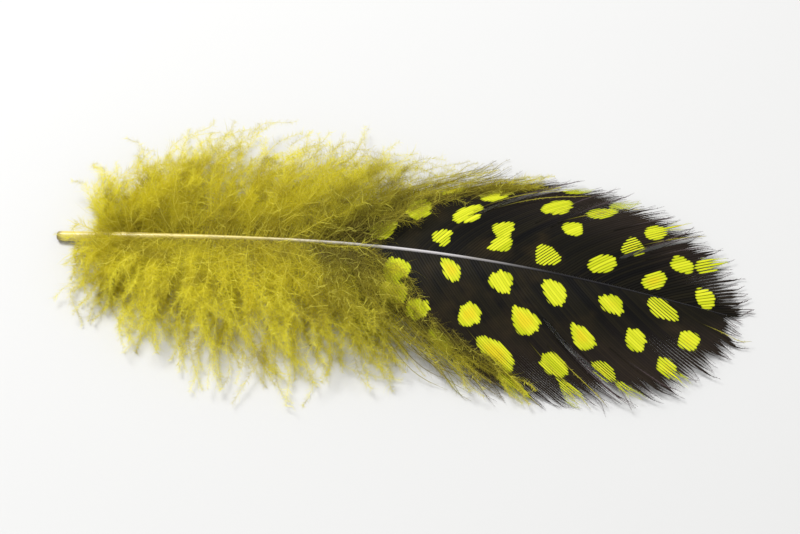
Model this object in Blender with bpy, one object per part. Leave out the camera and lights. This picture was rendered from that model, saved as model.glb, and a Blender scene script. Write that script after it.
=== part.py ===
"""One guinea fowl body feather, dyed yellow, lying with its outer side up.

Metres, +Z up. The shaft runs along X: the quill's end is at -X and the feather's tip at +X. The feather
rests on the plane z = 0 on its quill and its lower down, and the edges of its vane just clear that plane.
The origin is under the middle of its box.

It grew as one piece, so it is one body: a tapering shaft, a closed vane of ribs that slant towards the
tip on both sides of it, and locks of loose down round its lower part.
"""

import math
import random

import bmesh
import bpy
from mathutils import Vector

# Whole feather
LENGTH = 0.100
QUILL_HEIGHT = 0.00062  # middle of the quill above the floor, a little less than its radius
TIP_HEIGHT = 0.00035
ARCH = 0.0052  # how far the shaft's middle rises over the line between its ends
ARCH_SKEW = 1.15  # over 1 moves the top of the arch towards the tip
BOW = 0.0016  # sideways bend of the shaft
BOW_OFFSET = -0.0008  # sideways place of the shaft's two ends

# Shaft
QUILL_RADIUS = 0.00075
RACHIS_RADIUS = 0.00052
SHAFT_TIP_RADIUS = 0.00014
SHAFT_END = 0.0985
QUILL_END = 0.009  # bare up to here
QUILL_BLUNTING = 0.7  # the quill's end is this much narrower
SHAFT_RINGS = 26
SHAFT_SIDES = 7

# Vane
VANE_START = 0.039
HALF_WIDTH = 0.0188
WIDEST_AT = 0.070
NECK_SHARE = 0.08  # how much narrower the vane starts than its widest
TIP_ROUNDNESS = 2.4
DROOP = 0.96  # share of the arch's height that the vane has lost at its edge
RIBS = 42
STATIONS = 6  # from the shaft to the edge
ROOT_ANGLE = math.radians(58)
LAST_ANGLE = math.radians(8)
ANGLE_POWER = 3.0
BARB_CURL = 0.38  # share of its slant that a barb has lost one half width out
MOST_CURL = 1.3  # a long barb stops curling this many half widths out
BARB_STEP = 0.0002
VANE_THICKNESS = 0.00050
EDGE_THICKNESS = 0.00028
RIDGE = 0.00012  # every second rib stands this far over its neighbours
FRINGE = (0.0, 0.07, 0.02, 0.11)  # share of its length that each rib in turn stops short of the outline
SPLITS = {1: (0.0545, 0.0770), -1: (0.0660,)}  # where the vane has parted, by side
SPLIT_STATION = 3  # a split is open from this station to the edge
SPLIT_LEAN = math.radians(1.5)
SPLIT_SPREAD = 0.0035

# Down
DOWN_START = 0.0095
DOWN_END = 0.0435  # a few locks still leave the shaft under the vane's first ribs
LOCK_RINGS = 5
LOCK_SIDES = 6
LOCK_ROOT = 0.12  # share of its swell that a lock starts with
LOCK_FULLNESS = 0.7  # under 1 keeps a lock wide for longer
LOCK_TURN = math.radians(24)  # how far a lock bends towards the feather's tip on its way out
LOCK_SWAY = math.radians(14)
LOCK_STRAY = math.radians(6)
SHORTEST_SHARE = 0.56  # reach of the locks nearest the quill, of the longest
REACH_SWELL = 0.75 * math.pi  # the longest locks grow two thirds of the way along the down
REACH_RANGE = (0.86, 1.0)
SIZE_RANGE = (0.88, 1.12)
ANGLE_EASE = 0.8  # under 1 turns the first locks faster than the last ones
UPPER_DOWN = {
    "name": "upper",
    "count": 13,
    "reach": 0.0258,
    "width": 0.0052,
    "thickness": 0.0023,
    "angles": (math.radians(106), math.radians(58)),  # at the quill and at the vane
    "loft": 0.0034,  # how high the locks arch over the line from the shaft to their tips
    "tip_height": 0.0020,
    "fall": 1.4,  # how steeply a lock leaves the shaft's height
}
LOWER_DOWN = {
    "name": "lower",
    "count": 12,
    "reach": 0.0250,
    "width": 0.0054,
    "thickness": 0.0019,
    "angles": (math.radians(114), math.radians(64)),
    "loft": 0.0,
    "tip_height": 0.0005,
    "fall": 4.0,
}
SEED = 7

FLOOR_DEPTH = 0.004

SHAFT_COLOUR = (0.60, 0.56, 0.42)
VANE_COLOUR = (0.011, 0.010, 0.013)
DOWN_COLOUR = (0.52, 0.46, 0.04)


def clear_scene():
    for thing in list(bpy.data.objects):
        bpy.data.objects.remove(thing, do_unlink=True)


def finish(name, colour, roughness):
    """A plain material of one colour."""
    material = bpy.data.materials.new(name)
    material.use_nodes = True
    shader = material.node_tree.nodes["Principled BSDF"]
    shader.inputs["Base Color"].default_value = (*colour, 1.0)
    shader.inputs["Roughness"].default_value = roughness
    shader.inputs["Metallic"].default_value = 0.0
    return material


def shaft_height(along):
    """Height of the shaft's middle line at this distance from the quill's end."""
    share = min(max(along / LENGTH, 0.0), 1.0)
    line = QUILL_HEIGHT + (TIP_HEIGHT - QUILL_HEIGHT) * share
    return line + ARCH * math.sin(math.pi * share**ARCH_SKEW)


def shaft_side(along):
    share = min(max(along / LENGTH, 0.0), 1.0)
    return BOW_OFFSET + BOW * math.sin(math.pi * share)


def shaft_point(along):
    return Vector((along - LENGTH / 2, shaft_side(along), shaft_height(along)))


def shaft_radius(along):
    """The quill is a plain tube, and the shaft beyond it tapers evenly to a hair."""
    if along < QUILL_END:
        return QUILL_RADIUS
    share = (along - QUILL_END) / (SHAFT_END - QUILL_END)
    shoulder = QUILL_RADIUS + (RACHIS_RADIUS - QUILL_RADIUS) * min(1.0, share * 4)
    return shoulder + (SHAFT_TIP_RADIUS - RACHIS_RADIUS) * share


def vane_half_width(along):
    """The vane's outline: nearly parallel sides that close in a broad round end."""
    if along < WIDEST_AT:
        back = (WIDEST_AT - along) / (WIDEST_AT - VANE_START)
        return HALF_WIDTH * (1 - NECK_SHARE * back**2)
    ahead = min((along - WIDEST_AT) / (LENGTH - WIDEST_AT), 1.0)
    return HALF_WIDTH * math.sqrt(1 - ahead**TIP_ROUNDNESS)


def barb_angle(along, side):
    """Slant from the shaft of the barb that leaves it here, with its lean beside a split."""
    share = (along - VANE_START) / (LENGTH - VANE_START)
    angle = ROOT_ANGLE + (LAST_ANGLE - ROOT_ANGLE) * share**ANGLE_POWER
    for split in SPLITS[side]:
        off = along - split
        angle -= math.copysign(SPLIT_LEAN, off) * math.exp(-abs(off) / SPLIT_SPREAD)
    return max(angle, LAST_ANGLE / 2)


def barb_path(along, side):
    """Points (distance along the shaft, distance out from it) of one barb, up to the vane's outline."""
    angle = barb_angle(along, side)
    x, out, gone = along, 0.0, 0.0
    path = [(x, out)]
    while out <= vane_half_width(x) and x < LENGTH:
        slant = angle * (1 - BARB_CURL * min(gone / HALF_WIDTH, MOST_CURL))
        x += BARB_STEP * math.cos(slant)
        out += BARB_STEP * math.sin(slant)
        gone += BARB_STEP
        path.append((x, out))
    return path


def vane_place(along, out):
    """A point of the vane, which falls away from the shaft on both sides like a roof with a round ridge."""
    height = shaft_height(along) * (1 - DROOP * (out / HALF_WIDTH) ** 2)
    return Vector((along - LENGTH / 2, shaft_side(along) + out, height))


def rib_points(index, along):
    """One rib across the whole vane, from its left end over the shaft to its right end."""
    rows = {}
    for side in (1, -1):
        path = barb_path(along, side)
        last = (len(path) - 1) * (1 - FRINGE[(index + (side < 0)) % len(FRINGE)])
        rows[side] = [path[round(last * k / STATIONS)] for k in range(STATIONS + 1)]
    across = [(x, out) for x, out in reversed(rows[1])]
    across += [(x, -out) for x, out in rows[-1][1:]]
    return across


def parted(along, spacing, station):
    """True where the vane is open between this rib and the next one, at this step across it."""
    side = 1 if station < STATIONS else -1
    inner = STATIONS - station - 1 if side > 0 else station - STATIONS
    near_split = any(0 <= split - along < spacing for split in SPLITS[side])
    return near_split and inner >= SPLIT_STATION


def vane_mesh():
    """A closed herringbone sheet: its ribs slant back from both edges to the shaft."""
    spacing = (SHAFT_END - VANE_START) / (RIBS - 1)
    top, bottom, triangles = [], [], []
    across = 2 * STATIONS + 1
    for index in range(RIBS):
        along = VANE_START + spacing * index
        for x, out in rib_points(index, along):
            share = abs(out) / HALF_WIDTH
            half = (VANE_THICKNESS + (EDGE_THICKNESS - VANE_THICKNESS) * share) / 2
            top.append(vane_place(x, out) + Vector((0, 0, half + RIDGE * (index % 2))))
            bottom.append(vane_place(x, out) - Vector((0, 0, half)))
        if index == RIBS - 1:
            break
        for station in range(across - 1):
            if not parted(along, spacing, station):
                corner = index * across + station
                triangles.append((corner, corner + 1, corner + across))
                triangles.append((corner + 1, corner + across + 1, corner + across))
    return sheet_mesh("vane", top, bottom, triangles)


def sheet_mesh(name, top, bottom, triangles):
    """A closed sheet: the same triangles above and below, and a rim along their open edges."""
    low = len(top)
    edges = {(t[k], t[(k + 1) % 3]): None for t in triangles for k in range(3)}
    faces = list(triangles)
    faces += [(c + low, b + low, a + low) for a, b, c in triangles]
    faces += [(b, a, a + low, b + low) for a, b in edges if (b, a) not in edges]
    mesh = bpy.data.meshes.new(name)
    mesh.from_pydata(top + bottom, [], faces)
    return mesh


def close_net(net, name):
    """Turns every face outwards and makes the mesh."""
    bmesh.ops.triangulate(net, faces=net.faces[:])
    bmesh.ops.recalc_face_normals(net, faces=net.faces[:])
    mesh = bpy.data.meshes.new(name)
    net.to_mesh(mesh)
    net.free()
    return mesh


def tube_mesh(name, path, sections, sides):
    """A closed tube along path. A section is a half width and a half thickness, and a zero one is a point."""
    net = bmesh.new()
    rings = []
    for k, (place, (half_width, half_thick)) in enumerate(zip(path, sections)):
        if not half_width:
            rings.append([net.verts.new(place)])
            continue
        heading = (path[min(k + 1, len(path) - 1)] - path[max(k - 1, 0)]).normalized()
        across = heading.cross(Vector((0, 0, 1))).normalized()
        over = across.cross(heading).normalized()
        ring = []
        for turn in range(sides):
            round_by = 2 * math.pi * turn / sides
            offset = across * half_width * math.cos(round_by) + over * half_thick * math.sin(round_by)
            ring.append(net.verts.new(place + offset))
        rings.append(ring)
    for a, b in zip(rings, rings[1:]):
        for k in range(sides):
            after = (k + 1) % sides
            net.faces.new((a[k], a[after], b[0]) if len(b) == 1 else (a[k], a[after], b[after], b[k]))
    net.faces.new(rings[0][::-1])
    if len(rings[-1]) > 1:
        net.faces.new(rings[-1])
    return close_net(net, name)


def shaft_mesh():
    stops = [SHAFT_END * k / SHAFT_RINGS for k in range(SHAFT_RINGS + 1)]
    stops.insert(1, QUILL_RADIUS / 2)
    sections = [(shaft_radius(along), shaft_radius(along)) for along in stops]
    sections[0] = (QUILL_RADIUS * QUILL_BLUNTING, QUILL_RADIUS * QUILL_BLUNTING)
    return tube_mesh("shaft", [shaft_point(along) for along in stops], sections, SHAFT_SIDES)


def lock_path(layer, along, side, reach, angle, sway):
    """A lock leaves the shaft at an angle, bends towards the feather's tip and sinks to its own height."""
    root = shaft_point(along)
    path = []
    x, out = 0.0, 0.0
    step = reach / LOCK_RINGS
    for k in range(LOCK_RINGS + 1):
        share = k / LOCK_RINGS
        height = layer["tip_height"] + (root.z - layer["tip_height"]) * (1 - share) ** layer["fall"]
        height += layer["loft"] * math.sin(math.pi * share)
        path.append(Vector((root.x + x, root.y + side * out, height)))
        slant = angle - LOCK_TURN * share + sway * math.sin(math.pi * share)
        x += step * math.cos(slant)
        out += step * math.sin(slant)
    return path


def lock_sections(width, thickness):
    """A lock swells from its root and runs out to a point."""
    sections = []
    for k in range(LOCK_RINGS):
        swell = math.sin(math.pi * (LOCK_ROOT + (1 - LOCK_ROOT) * k / LOCK_RINGS)) ** LOCK_FULLNESS
        sections.append((width / 2 * swell, thickness / 2 * swell))
    return sections + [(0.0, 0.0)]


def lock_mesh(layer, side, index, chance):
    share = index / (layer["count"] - 1)
    along = DOWN_START + (DOWN_END - DOWN_START) * share
    first, last = layer["angles"]
    reach = SHORTEST_SHARE + (1 - SHORTEST_SHARE) * math.sin(REACH_SWELL * share)
    reach *= layer["reach"] * chance.uniform(*REACH_RANGE)
    angle = first + (last - first) * share**ANGLE_EASE + chance.uniform(-LOCK_STRAY, LOCK_STRAY)
    path = lock_path(layer, along, side, reach, angle, chance.uniform(-LOCK_SWAY, LOCK_SWAY))
    size = chance.uniform(*SIZE_RANGE)
    sections = lock_sections(layer["width"] * size, layer["thickness"] * size)
    hand = "left" if side > 0 else "right"
    return tube_mesh(f"{layer['name']}_{hand}_{index:02d}", path, sections, LOCK_SIDES)


def helper(mesh, collection, material=None):
    """An object that only a Boolean reads."""
    thing = bpy.data.objects.new(mesh.name, mesh)
    if material:
        mesh.materials.append(material)
    thing.hide_render = True
    thing.display_type = "WIRE"
    collection.objects.link(thing)
    return thing


def floor_block():
    """What is taken off under the floor, so that the feather rests on small flats."""
    net = bmesh.new()
    bmesh.ops.create_cube(net, size=1.0)
    bmesh.ops.scale(net, vec=(2 * LENGTH, LENGTH, FLOOR_DEPTH), verts=net.verts)
    bmesh.ops.translate(net, vec=(0, 0, -FLOOR_DEPTH / 2), verts=net.verts)
    return close_net(net, "floor_block")


def add_boolean(thing, name, operation, collection):
    modifier = thing.modifiers.new(name, "BOOLEAN")
    modifier.operation = operation
    modifier.solver = "EXACT"
    modifier.operand_type = "COLLECTION"
    modifier.collection = collection
    modifier.material_mode = "TRANSFER"


def islands(net):
    """The separate closed surfaces of a mesh, as lists of faces."""
    left = set(net.faces)
    found = []
    while left:
        start = left.pop()
        island, to_visit = [start], [start]
        while to_visit:
            for edge in to_visit.pop().edges:
                for near in edge.link_faces:
                    if near in left:
                        left.remove(near)
                        island.append(near)
                        to_visit.append(near)
        found.append(island)
    return found


def drop_pockets(mesh):
    """Where locks cross they shut in small pockets of air. Only the outer surface is kept."""
    net = bmesh.new()
    net.from_mesh(mesh)
    for island in sorted(islands(net), key=len)[:-1]:
        bmesh.ops.delete(net, geom=island, context="FACES")
    net.to_mesh(mesh)
    net.free()


def new_collection(name):
    collection = bpy.data.collections.new(name)
    bpy.context.scene.collection.children.link(collection)
    return collection


def grow():
    """The shaft with the vane and every lock joined to it, flat where it meets the floor."""
    growth, under = new_collection("growth"), new_collection("under")
    helper(vane_mesh(), growth, finish("vane", VANE_COLOUR, 0.45))
    down_finish = finish("down", DOWN_COLOUR, 0.85)
    chance = random.Random(SEED)
    for layer in (UPPER_DOWN, LOWER_DOWN):
        for side in (1, -1):
            for index in range(layer["count"]):
                helper(lock_mesh(layer, side, index, chance), growth, down_finish)
    helper(floor_block(), under)
    shaft = shaft_mesh()
    shaft.materials.append(finish("shaft", SHAFT_COLOUR, 0.35))
    grown = bpy.data.objects.new("grown", shaft)
    bpy.context.scene.collection.objects.link(grown)
    add_boolean(grown, "grow together", "UNION", growth)
    add_boolean(grown, "rest on the floor", "DIFFERENCE", under)
    bpy.context.view_layer.update()
    whole = bpy.data.meshes.new_from_object(grown.evaluated_get(bpy.context.evaluated_depsgraph_get()))
    bpy.data.objects.remove(grown, do_unlink=True)
    return whole


def main():
    clear_scene()
    whole = grow()
    drop_pockets(whole)
    whole.name = "feather"
    feather = bpy.data.objects.new("feather", whole)
    bpy.context.scene.collection.objects.link(feather)
    whole.shade_smooth()
    whole.set_sharp_from_angle(angle=math.radians(40))
    print(f"feather: {len(whole.polygons)} faces")


main()
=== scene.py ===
# %% [markdown]
# # A guinea fowl feather, dyed yellow
#
# A body feather has three parts that look nothing like each other. The shaft is a tapering tube of horn. The
# vane is a web of about two hundred barbs, black with round yellow spots. The down round its lower part is
# hundreds of limp barbs with hair-fine side branches. One solid could only carry a picture of all that, so
# here every barb is modelled as a strand of its own, and the imported solid says where each strand goes.
#
# The imported model is loaded first, and the size of its box is printed.

# %% Open the imported feather
import math
import random

import bpy
import numpy as np
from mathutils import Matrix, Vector


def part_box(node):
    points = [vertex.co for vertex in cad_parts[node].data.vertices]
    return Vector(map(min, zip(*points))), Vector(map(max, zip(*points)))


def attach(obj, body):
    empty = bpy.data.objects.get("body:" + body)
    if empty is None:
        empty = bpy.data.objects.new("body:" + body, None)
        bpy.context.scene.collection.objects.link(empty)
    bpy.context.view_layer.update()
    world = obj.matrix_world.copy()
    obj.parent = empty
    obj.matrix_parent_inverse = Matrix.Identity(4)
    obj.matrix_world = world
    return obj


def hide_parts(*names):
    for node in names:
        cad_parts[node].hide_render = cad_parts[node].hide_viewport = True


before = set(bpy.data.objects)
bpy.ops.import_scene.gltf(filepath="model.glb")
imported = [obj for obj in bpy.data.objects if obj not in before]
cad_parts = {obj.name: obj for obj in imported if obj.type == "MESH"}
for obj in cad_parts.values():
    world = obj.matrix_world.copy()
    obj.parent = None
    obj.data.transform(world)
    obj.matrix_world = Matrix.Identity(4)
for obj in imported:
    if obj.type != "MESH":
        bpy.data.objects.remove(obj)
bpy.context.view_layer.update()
low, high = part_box("feather")
MM = 0.001
print("packed feather, mm:", [round(size / MM, 1) for size in high - low])

# %% [markdown]
# ## The line that everything grows from
#
# A shaft is never straight: it arches over its length and bows a little to one side. The strands have to
# follow the same line as the solid, so the sizes that drive that line are repeated here, in metres. Each is a
# formula of the distance from the quill's end, and works on one number or on a whole array of them.

# %% Shaft line
LENGTH = 100 * MM
QUILL_HEIGHT = 0.62 * MM
TIP_HEIGHT = 0.35 * MM
ARCH = 5.2 * MM
ARCH_SKEW = 1.15
BOW = 1.6 * MM
BOW_OFFSET = -0.8 * MM
UP = np.array([0.0, 0.0, 1.0])


def shaft_height(along):
    share = np.clip(along / LENGTH, 0, 1)
    line = QUILL_HEIGHT + (TIP_HEIGHT - QUILL_HEIGHT) * share
    return line + ARCH * np.sin(math.pi * share**ARCH_SKEW)


def shaft_side(along):
    return BOW_OFFSET + BOW * np.sin(math.pi * np.clip(along / LENGTH, 0, 1))


highest = float(shaft_height(np.linspace(0, LENGTH, 200)).max())
print("highest point of the shaft's middle line, mm:", round(highest / MM, 2))

# %% [markdown]
# ## Camera
#
# The feather in the photograph is seen from high in front, a little from its right, so its shaft runs almost
# level across the picture and falls slightly to the right. A long lens from a few feather lengths away gives
# the same mild perspective. The camera is aimed first, because it shows which strands matter most.

# %% Camera
VIEW_ELEVATION = math.radians(58)
VIEW_AZIMUTH = math.radians(8)
LENS_MM = 90
FILM_WIDTH_MM = 36
FRAME_SHARE = 0.86  # of the picture's width that the feather takes
aim = Vector((0.001, 0.0, 0.002))
view_distance = LENGTH / FRAME_SHARE * LENS_MM / FILM_WIDTH_MM
toward_camera = Vector(
    (
        math.sin(VIEW_AZIMUTH) * math.cos(VIEW_ELEVATION),
        -math.cos(VIEW_AZIMUTH) * math.cos(VIEW_ELEVATION),
        math.sin(VIEW_ELEVATION),
    )
)
camera_data = bpy.data.cameras.new("camera")
camera_data.lens = LENS_MM
camera_data.sensor_width = FILM_WIDTH_MM
camera_data.clip_start = 0.005
camera = bpy.data.objects.new("camera", camera_data)
camera.location = aim + toward_camera * view_distance
camera.rotation_euler = toward_camera.to_track_quat("Z", "Y").to_euler()
bpy.context.scene.collection.objects.link(camera)
bpy.context.scene.camera = camera
print("camera stands", round(view_distance, 3), "m from the feather")

# %% [markdown]
# ## Floor and light
#
# The feather lies on a plain pale table under soft light from all round, with a brighter softbox high on the
# left. Strands this thin need that softbox: it puts a bright side and a shadow on each lock of down. The
# table is a little darker than white, so that pale wisps and their soft shadows still show against it. The
# colours are shown as they are, without a film curve, because a film curve greys this yellow.

# %% Floor and light
FLOOR_SIZE = 3.0
ROOM_LIGHT = 0.62


def plain_finish(name, colour, roughness):
    material = bpy.data.materials.new(name)
    material.use_nodes = True
    shader = material.node_tree.nodes["Principled BSDF"]
    shader.inputs["Base Color"].default_value = (*colour, 1)
    shader.inputs["Roughness"].default_value = roughness
    return material


def softbox(name, place, size, watts):
    light = bpy.data.lights.new(name, "AREA")
    light.size = size
    light.energy = watts
    lamp = bpy.data.objects.new(name, light)
    lamp.location = place
    lamp.rotation_euler = (Vector(place) - aim).to_track_quat("Z", "Y").to_euler()
    bpy.context.scene.collection.objects.link(lamp)


floor_mesh = bpy.data.meshes.new("table")
half_floor = FLOOR_SIZE / 2
floor_corners = [(x * half_floor, y * half_floor, 0) for x, y in ((-1, -1), (1, -1), (1, 1), (-1, 1))]
floor_mesh.from_pydata(floor_corners, [], [(0, 1, 2, 3)])
floor_mesh.materials.append(plain_finish("pale table", (0.60, 0.60, 0.595), 0.9))
table = bpy.data.objects.new("table", floor_mesh)
bpy.context.scene.collection.objects.link(table)

world = bpy.data.worlds.new("studio")
world.use_nodes = True
world.node_tree.nodes["Background"].inputs["Color"].default_value = (1, 1, 1, 1)
world.node_tree.nodes["Background"].inputs["Strength"].default_value = ROOM_LIGHT
bpy.context.scene.world = world
softbox("softbox", (-0.28, 0.22, 0.50), 0.22, 4.0)
softbox("fill", (0.35, -0.30, 0.35), 0.50, 0.5)
bpy.context.scene.view_settings.view_transform = "Standard"

# %% [markdown]
# ## Strands by the hundred
#
# Hair curves and instances don't survive an export, so each strand is real mesh: a small closed section swept
# along a path. Hundreds of them are swept at once with arrays, which takes less than a second. Each strand
# also gets a row of its own on the piece's colour map, so that a baked texture can hold its colours.


# %% Sweep sections along paths
def unit(vectors):
    return vectors / np.linalg.norm(vectors, axis=-1, keepdims=True)


def own_axes(headings):
    """For each heading, the direction to its right and the direction over it."""
    across = unit(np.cross(headings, UP))
    return across, np.cross(across, headings)


def sweep(paths, sections):
    """Sweeps closed sections along paths. Returns the points, the quads, and for each corner of a quad how
    far it is along its strand and round it, from 0 to 1."""
    across, over = own_axes(unit(np.gradient(paths, axis=1)))
    offsets = across[:, :, None] * sections[..., :1] + over[:, :, None] * sections[..., 1:]
    points = paths[:, :, None] + offsets
    strands, stations, corners = points.shape[:3]
    index = np.arange(strands * stations * corners).reshape(strands, stations, corners)
    after = np.roll(index, -1, axis=2)
    quads = np.stack([index[:, :-1], index[:, 1:], after[:, 1:], after[:, :-1]], axis=-1)
    along, round_by = np.meshgrid(np.arange(stations - 1), np.arange(corners), indexing="ij")
    along = np.stack([along, along + 1, along + 1, along], axis=-1) / (stations - 1)
    round_by = np.stack([round_by, round_by, round_by + 1, round_by + 1], axis=-1) / corners
    places = np.broadcast_to(np.stack([along, round_by], axis=-1), (strands, *along.shape, 2))
    return points, quads.reshape(strands, -1, 4), places.reshape(strands, -1, 4, 2)


def on_rows(places, strip):
    """Puts each strand's places on its own row of the map, in the given strip of that row."""
    rows = len(places)
    row = np.arange(rows).reshape(rows, *[1] * (places.ndim - 2))
    bottom, top = strip
    return np.stack([places[..., 0], (row + bottom + (top - bottom) * places[..., 1]) / rows], axis=-1)


def make_piece(name, batches, finish, side=0):
    """Joins batches of (points, faces, map places, readings) to one mesh. Readings are numbers at the points
    that the finish reads by name. A side of 1 or -1 says that y is the distance out to that side."""
    points = np.concatenate([batch[0].reshape(-1, 3) for batch in batches])
    if side:
        points[:, 1] = shaft_side(points[:, 0] + LENGTH / 2) + side * points[:, 1]
    faces, start = [], 0
    for batch in batches:
        faces += (batch[1].reshape(-1, batch[1].shape[-1]) + start).tolist()
        start += batch[0].size // 3
    mesh = bpy.data.meshes.new(name)
    mesh.from_pydata(points.tolist(), [], faces)
    places = np.concatenate([batch[2].reshape(-1, 2) for batch in batches])
    mesh.uv_layers.new(name="OFBake").data.foreach_set("uv", places.astype(np.float32).ravel())
    for reading in batches[0][3]:
        values = np.concatenate([batch[3][reading].ravel() for batch in batches])
        mesh.attributes.new(reading, "FLOAT", "POINT").data.foreach_set("value", values.astype(np.float32))
    if side < 0:
        mesh.flip_normals()
    mesh.shade_smooth()
    mesh.set_sharp_from_angle(angle=SHARP_FROM)
    mesh.materials.append(finish)
    piece = bpy.data.objects.new(name, mesh)
    bpy.context.scene.collection.objects.link(piece)
    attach(piece, "root")
    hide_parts("feather")
    triangles = sum(len(face) - 2 for face in faces)
    print(f"{name}: {triangles} triangles")
    return triangles


SHARP_FROM = math.radians(70)  # folds sharper than this keep a hard edge in the shading
print("ready to sweep")

# %% [markdown]
# ## Finishes from nodes
#
# A finish here is a Principled shader with a few colour mixes in front of it. The mixes read the numbers that
# the strands carry, such as how far along its strand a point is, and noise for what differs from place to
# place. A few small helpers keep the node building short. The last of them lays colours over each other as
# a painter lays glazes, each one only where a reading or a noise calls for it.


# %% Node helpers
def new_finish(name, roughness):
    material = plain_finish(name, (0.5, 0.5, 0.5), roughness)
    tree = material.node_tree
    return material, tree, tree.nodes["Principled BSDF"]


def reading(tree, name):
    """A number that the strands carry at their points."""
    node = tree.nodes.new("ShaderNodeAttribute")
    node.attribute_name = name
    return node.outputs["Fac"]


def ramp(tree, value, start, stop, first=0.0, last=1.0):
    """Goes smoothly from first to last while value goes from start to stop."""
    node = tree.nodes.new("ShaderNodeMapRange")
    node.interpolation_type = "SMOOTHSTEP"
    for socket, number in zip(("From Min", "From Max", "To Min", "To Max"), (start, stop, first, last)):
        node.inputs[socket].default_value = number
    tree.links.new(value, node.inputs["Value"])
    return node.outputs["Result"]


def feed(tree, socket, source):
    """Connects a socket, or sets it where the source is a plain colour or number."""
    if isinstance(source, bpy.types.NodeSocket):
        tree.links.new(source, socket)
    else:
        socket.default_value = (*source, 1) if isinstance(source, tuple) else source


def colour_mix(tree, share, first, second):
    node = tree.nodes.new("ShaderNodeMix")
    node.data_type = "RGBA"
    factor, a, b = (next(s for s in node.inputs if s.identifier == key) for key in MIX_SOCKETS)
    feed(tree, factor, share)
    feed(tree, a, first)
    feed(tree, b, second)
    return next(s for s in node.outputs if s.identifier == "Result_Color")


def calculate(tree, operation, *numbers):
    node = tree.nodes.new("ShaderNodeMath")
    node.operation = operation
    for socket, number in zip(node.inputs, numbers):
        feed(tree, socket, number)
    return node.outputs["Value"]


def noise(tree, scale, detail=2.0, stretch=(1, 1, 1)):
    """Noise in the feather's own space, where scale is a number of lumps in a metre."""
    place = tree.nodes.new("ShaderNodeTexCoord")
    mapping = tree.nodes.new("ShaderNodeMapping")
    mapping.inputs["Scale"].default_value = stretch
    node = tree.nodes.new("ShaderNodeTexNoise")
    node.inputs["Scale"].default_value = scale
    node.inputs["Detail"].default_value = detail
    tree.links.new(place.outputs["Object"], mapping.inputs["Vector"])
    tree.links.new(mapping.outputs["Vector"], node.inputs["Vector"])
    return node.outputs["Fac"]


def lay_over(tree, colour, layers):
    """Lays colours over the first one. Each layer names a value, where its share starts and is full, how
    much it covers at most, and its colour."""
    for value, start, stop, most, over in layers:
        colour = colour_mix(tree, ramp(tree, value, start, stop, 0, most), colour, over)
    return colour


def set_sockets(shader, numbers):
    for socket, number in numbers.items():
        shader.inputs[socket].default_value = number


MIX_SOCKETS = ("Factor_Float", "A_Color", "B_Color")
print("node helpers ready")

# %% [markdown]
# ## Shaft
#
# The quill is a hollow tube of clear horn with a blunt end. Beyond it the shaft is solid: a little higher
# than wide, with a groove along its underside, and it tapers to a hair. It is swept as one strand with
# eighteen corners. In the photograph it is a pale silvery line that fades into the black of the vane, so its
# colour changes along its length: pale grey there, with a silvery sheen painted into that grey.

# %% Shaft sizes
QUILL_RADIUS = 0.75 * MM
RACHIS_RADIUS = 0.42 * MM  # thinner than the solid, which holds the feet of the barbs too
SHAFT_TIP_RADIUS = 0.08 * MM
SHAFT_END = 98.5 * MM
QUILL_END = 9 * MM
SHOULDER_SHARE = 0.25  # the first part of the vane's shaft, over which it narrows from the quill
END_ROUNDING = ((0.0, 0.45), (0.06, 0.68), (0.20, 0.87), (0.45, 0.97), (0.8, 1.0))  # mm from the end, share
SHAFT_STATIONS = 96
SHAFT_CORNERS = 18
SOLID_FROM = 10 * MM  # the hollow quill ends here, and the pith-filled shaft begins
SOLID_WITHIN = 6 * MM
GROOVE_DEPTH = 0.30
GROOVE_SPREAD = 0.42  # in radians round the section
NARROWING = 0.12
HEIGHTENING = 0.08


def shaft_radius(along):
    share = np.clip((along - QUILL_END) / (SHAFT_END - QUILL_END), 0, 1)
    shoulder = QUILL_RADIUS + (RACHIS_RADIUS - QUILL_RADIUS) * np.minimum(1, share / SHOULDER_SHARE)
    blunting = np.interp(along / MM, *zip(*END_ROUNDING))
    return (shoulder + (SHAFT_TIP_RADIUS - RACHIS_RADIUS) * share) * blunting


def smooth_step(value):
    value = np.clip(value, 0, 1)
    return value * value * (3 - 2 * value)


even_stops = np.linspace(1.5 * MM, SHAFT_END, SHAFT_STATIONS)
stops = np.concatenate([[mm * MM for mm, _ in END_ROUNDING], even_stops])
shaft_path = np.stack([stops - LENGTH / 2, shaft_side(stops), shaft_height(stops)], axis=-1)[None]
turn = 2 * math.pi * np.arange(SHAFT_CORNERS) / SHAFT_CORNERS
solid = smooth_step((stops - SOLID_FROM) / SOLID_WITHIN)[:, None]
under = np.exp(-(((turn - 1.5 * math.pi) / GROOVE_SPREAD) ** 2))
ring = shaft_radius(stops)[:, None] * (1 - GROOVE_DEPTH * solid * under)
ring_across = ring * np.cos(turn) * (1 - NARROWING * solid)
ring_over = ring * np.sin(turn) * (1 + HEIGHTENING * solid)
shaft_sections = np.stack([ring_across, ring_over], axis=-1)
print("shaft stations:", len(stops), "quill radius, mm:", round(float(shaft_radius(5 * MM)) / MM, 2))

# %% [markdown]
# The horn is pale straw where the down hides it, pale grey with a painted silvery sheen along the lower vane,
# and dark towards the tip, with faint streaks along it. The very end of the quill is darker, where the vessel
# that fed the feather dried up.

# %% Horn finish
STRAW = (0.62, 0.52, 0.15)
# pale grey horn with a painted silvery sheen, for the shaft along the lower vane
PALE_GREY_AND_SHEEN = (0.54, 0.52, 0.53)
STREAK_BROWN = (0.25, 0.20, 0.12)
DARK_HORN = (0.009, 0.008, 0.010)
DRIED_END = (0.10, 0.07, 0.03)

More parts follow.
